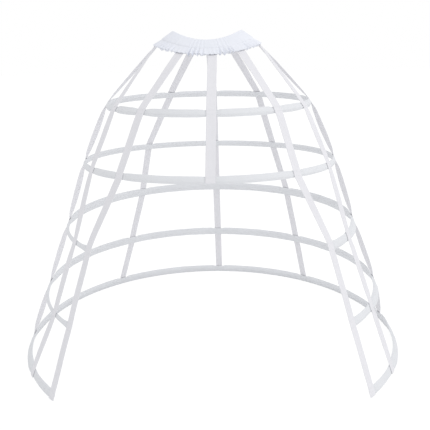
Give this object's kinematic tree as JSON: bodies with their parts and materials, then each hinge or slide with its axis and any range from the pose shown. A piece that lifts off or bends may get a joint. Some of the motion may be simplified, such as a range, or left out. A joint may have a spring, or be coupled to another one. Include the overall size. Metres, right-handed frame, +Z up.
{
  "type": "crinoline cage",
  "caption": "White crinoline cage with flat cloth-cased hoops hung by tapes from a gathered elastic waistband, open in front below the closed upper hoops.",
  "frame": {"origin": "middle of the waist opening, at the mean height of the waistband's top edge, on the axis of the hoops", "axes": "+Z up, -Y towards the open front, +X to the right as seen from the front"},
  "size_m": [1.2647, 1.0761, 1.0262],
  "materials": {
    "waistband_cloth": "matte gathered cotton",
    "tape_cloth": "matte cotton twill tape",
    "casing_cloth": "matte plain-weave casing",
    "elastic": "ribbed woven elastic",
    "boning_steel": "bright spring steel",
    "crimp_metal": "dull crimped metal"
  },
  "bodies": {
    "root": {"waistband": "waistband_cloth", "waist_elastic": "elastic", "tape_front": "tape_cloth", "tape_front_left": "tape_cloth", "tape_front_right": "tape_cloth", "tape_side_front_left": "tape_cloth", "tape_side_front_right": "tape_cloth", "tape_side_back_left": "tape_cloth", "tape_side_back_right": "tape_cloth", "tape_back_left": "tape_cloth", "tape_back_right": "tape_cloth", "tape_back": "tape_cloth", "hoop_casing_1": "casing_cloth", "hoop_casing_2": "casing_cloth", "hoop_casing_3": "casing_cloth", "hoop_casing_4": "casing_cloth", "hoop_casing_5": "casing_cloth", "boning_1": "boning_steel", "boning_2": "boning_steel", "boning_3": "boning_steel", "boning_4": "boning_steel", "boning_5": "boning_steel", "joiner_1": "crimp_metal", "joiner_2": "crimp_metal", "caps_3": "crimp_metal", "caps_4": "crimp_metal", "caps_5": "crimp_metal"}
  },
  "joints": []
}
